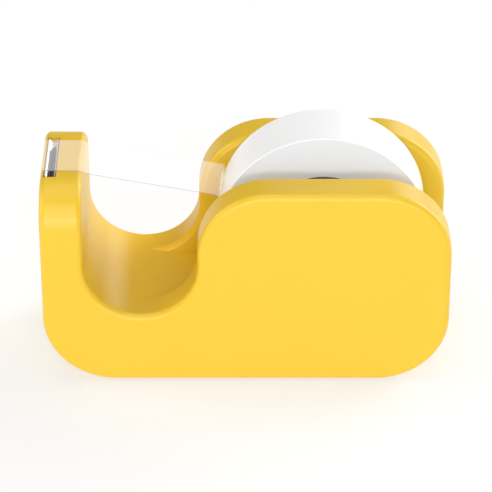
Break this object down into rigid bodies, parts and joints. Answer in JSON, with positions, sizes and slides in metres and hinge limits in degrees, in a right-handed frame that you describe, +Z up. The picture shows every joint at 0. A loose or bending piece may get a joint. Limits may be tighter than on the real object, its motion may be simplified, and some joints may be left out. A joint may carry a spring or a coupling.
{
  "type": "tape dispenser",
  "caption": "Weighted desk tape dispenser: one-piece body with a scoop and an open roll bay, saw-edged cutter on the arm, roll of clear tape on a drop-in axle.",
  "frame": {"origin": "middle of the body on the plane that it rests on", "axes": "+Z up, X along the body with the cutter arm at -X and the roll bay at +X, Y across the width"},
  "size_m": [0.1272, 0.0504, 0.0795],
  "materials": {
    "yellow_plastic": "satin moulded plastic, yellow",
    "grey_plastic": "fine matte texture, dark grey",
    "pad_foam": "fine-celled foam rubber, black",
    "ballast_steel": "raw, as cut",
    "screw_steel": "zinc plated",
    "blade_steel": "bright rolled stainless strip",
    "black_plastic": "satin, black",
    "hub_nylon": "natural nylon, off-white",
    "core_board": "wound board, grey-brown",
    "rolled_film": "many layers of clear film, white and slightly translucent",
    "clear_film": "clear frosted film"
  },
  "bodies": {
    "dispenser": {"body_shell": "yellow_plastic", "base_plate": "grey_plastic", "nonslip_pad": "pad_foam", "ballast_main": "ballast_steel", "ballast_front": "ballast_steel", "base_screw_1": "screw_steel", "base_screw_2": "screw_steel", "base_screw_3": "screw_steel", "base_screw_4": "screw_steel", "ballast_screw_1": "screw_steel", "ballast_screw_2": "screw_steel", "ballast_screw_3": "screw_steel", "cutter_blade": "blade_steel", "blade_retainer": "black_plastic"},
    "axle": {"axle_pin": "screw_steel", "tape_span": "clear_film"},
    "reel": {"hub_front": "hub_nylon", "hub_rear": "hub_nylon", "tape_core": "core_board", "tape_roll": "rolled_film"},
    "tape_end": {"tape_end": "clear_film"}
  },
  "joints": [
    {"name": "roll_lift", "type": "slide", "parent": "dispenser", "child": "axle", "axis": [0, 0, 1], "range_m": [0, 0.065]},
    {"name": "roll_spin", "type": "hinge", "parent": "axle", "child": "reel", "pos_m": [0.0241, 0, 0.0471], "axis": [0, 1, 0], "continuous": true},
    {"name": "tape_pull", "type": "slide", "parent": "axle", "child": "tape_end", "axis": [-1, 0, 0], "range_m": [0, 0.05]}
  ],
  "couplings": [
    {"joint": "roll_spin", "follows": "tape_pull", "rad_per_m": -30.864}
  ]
}
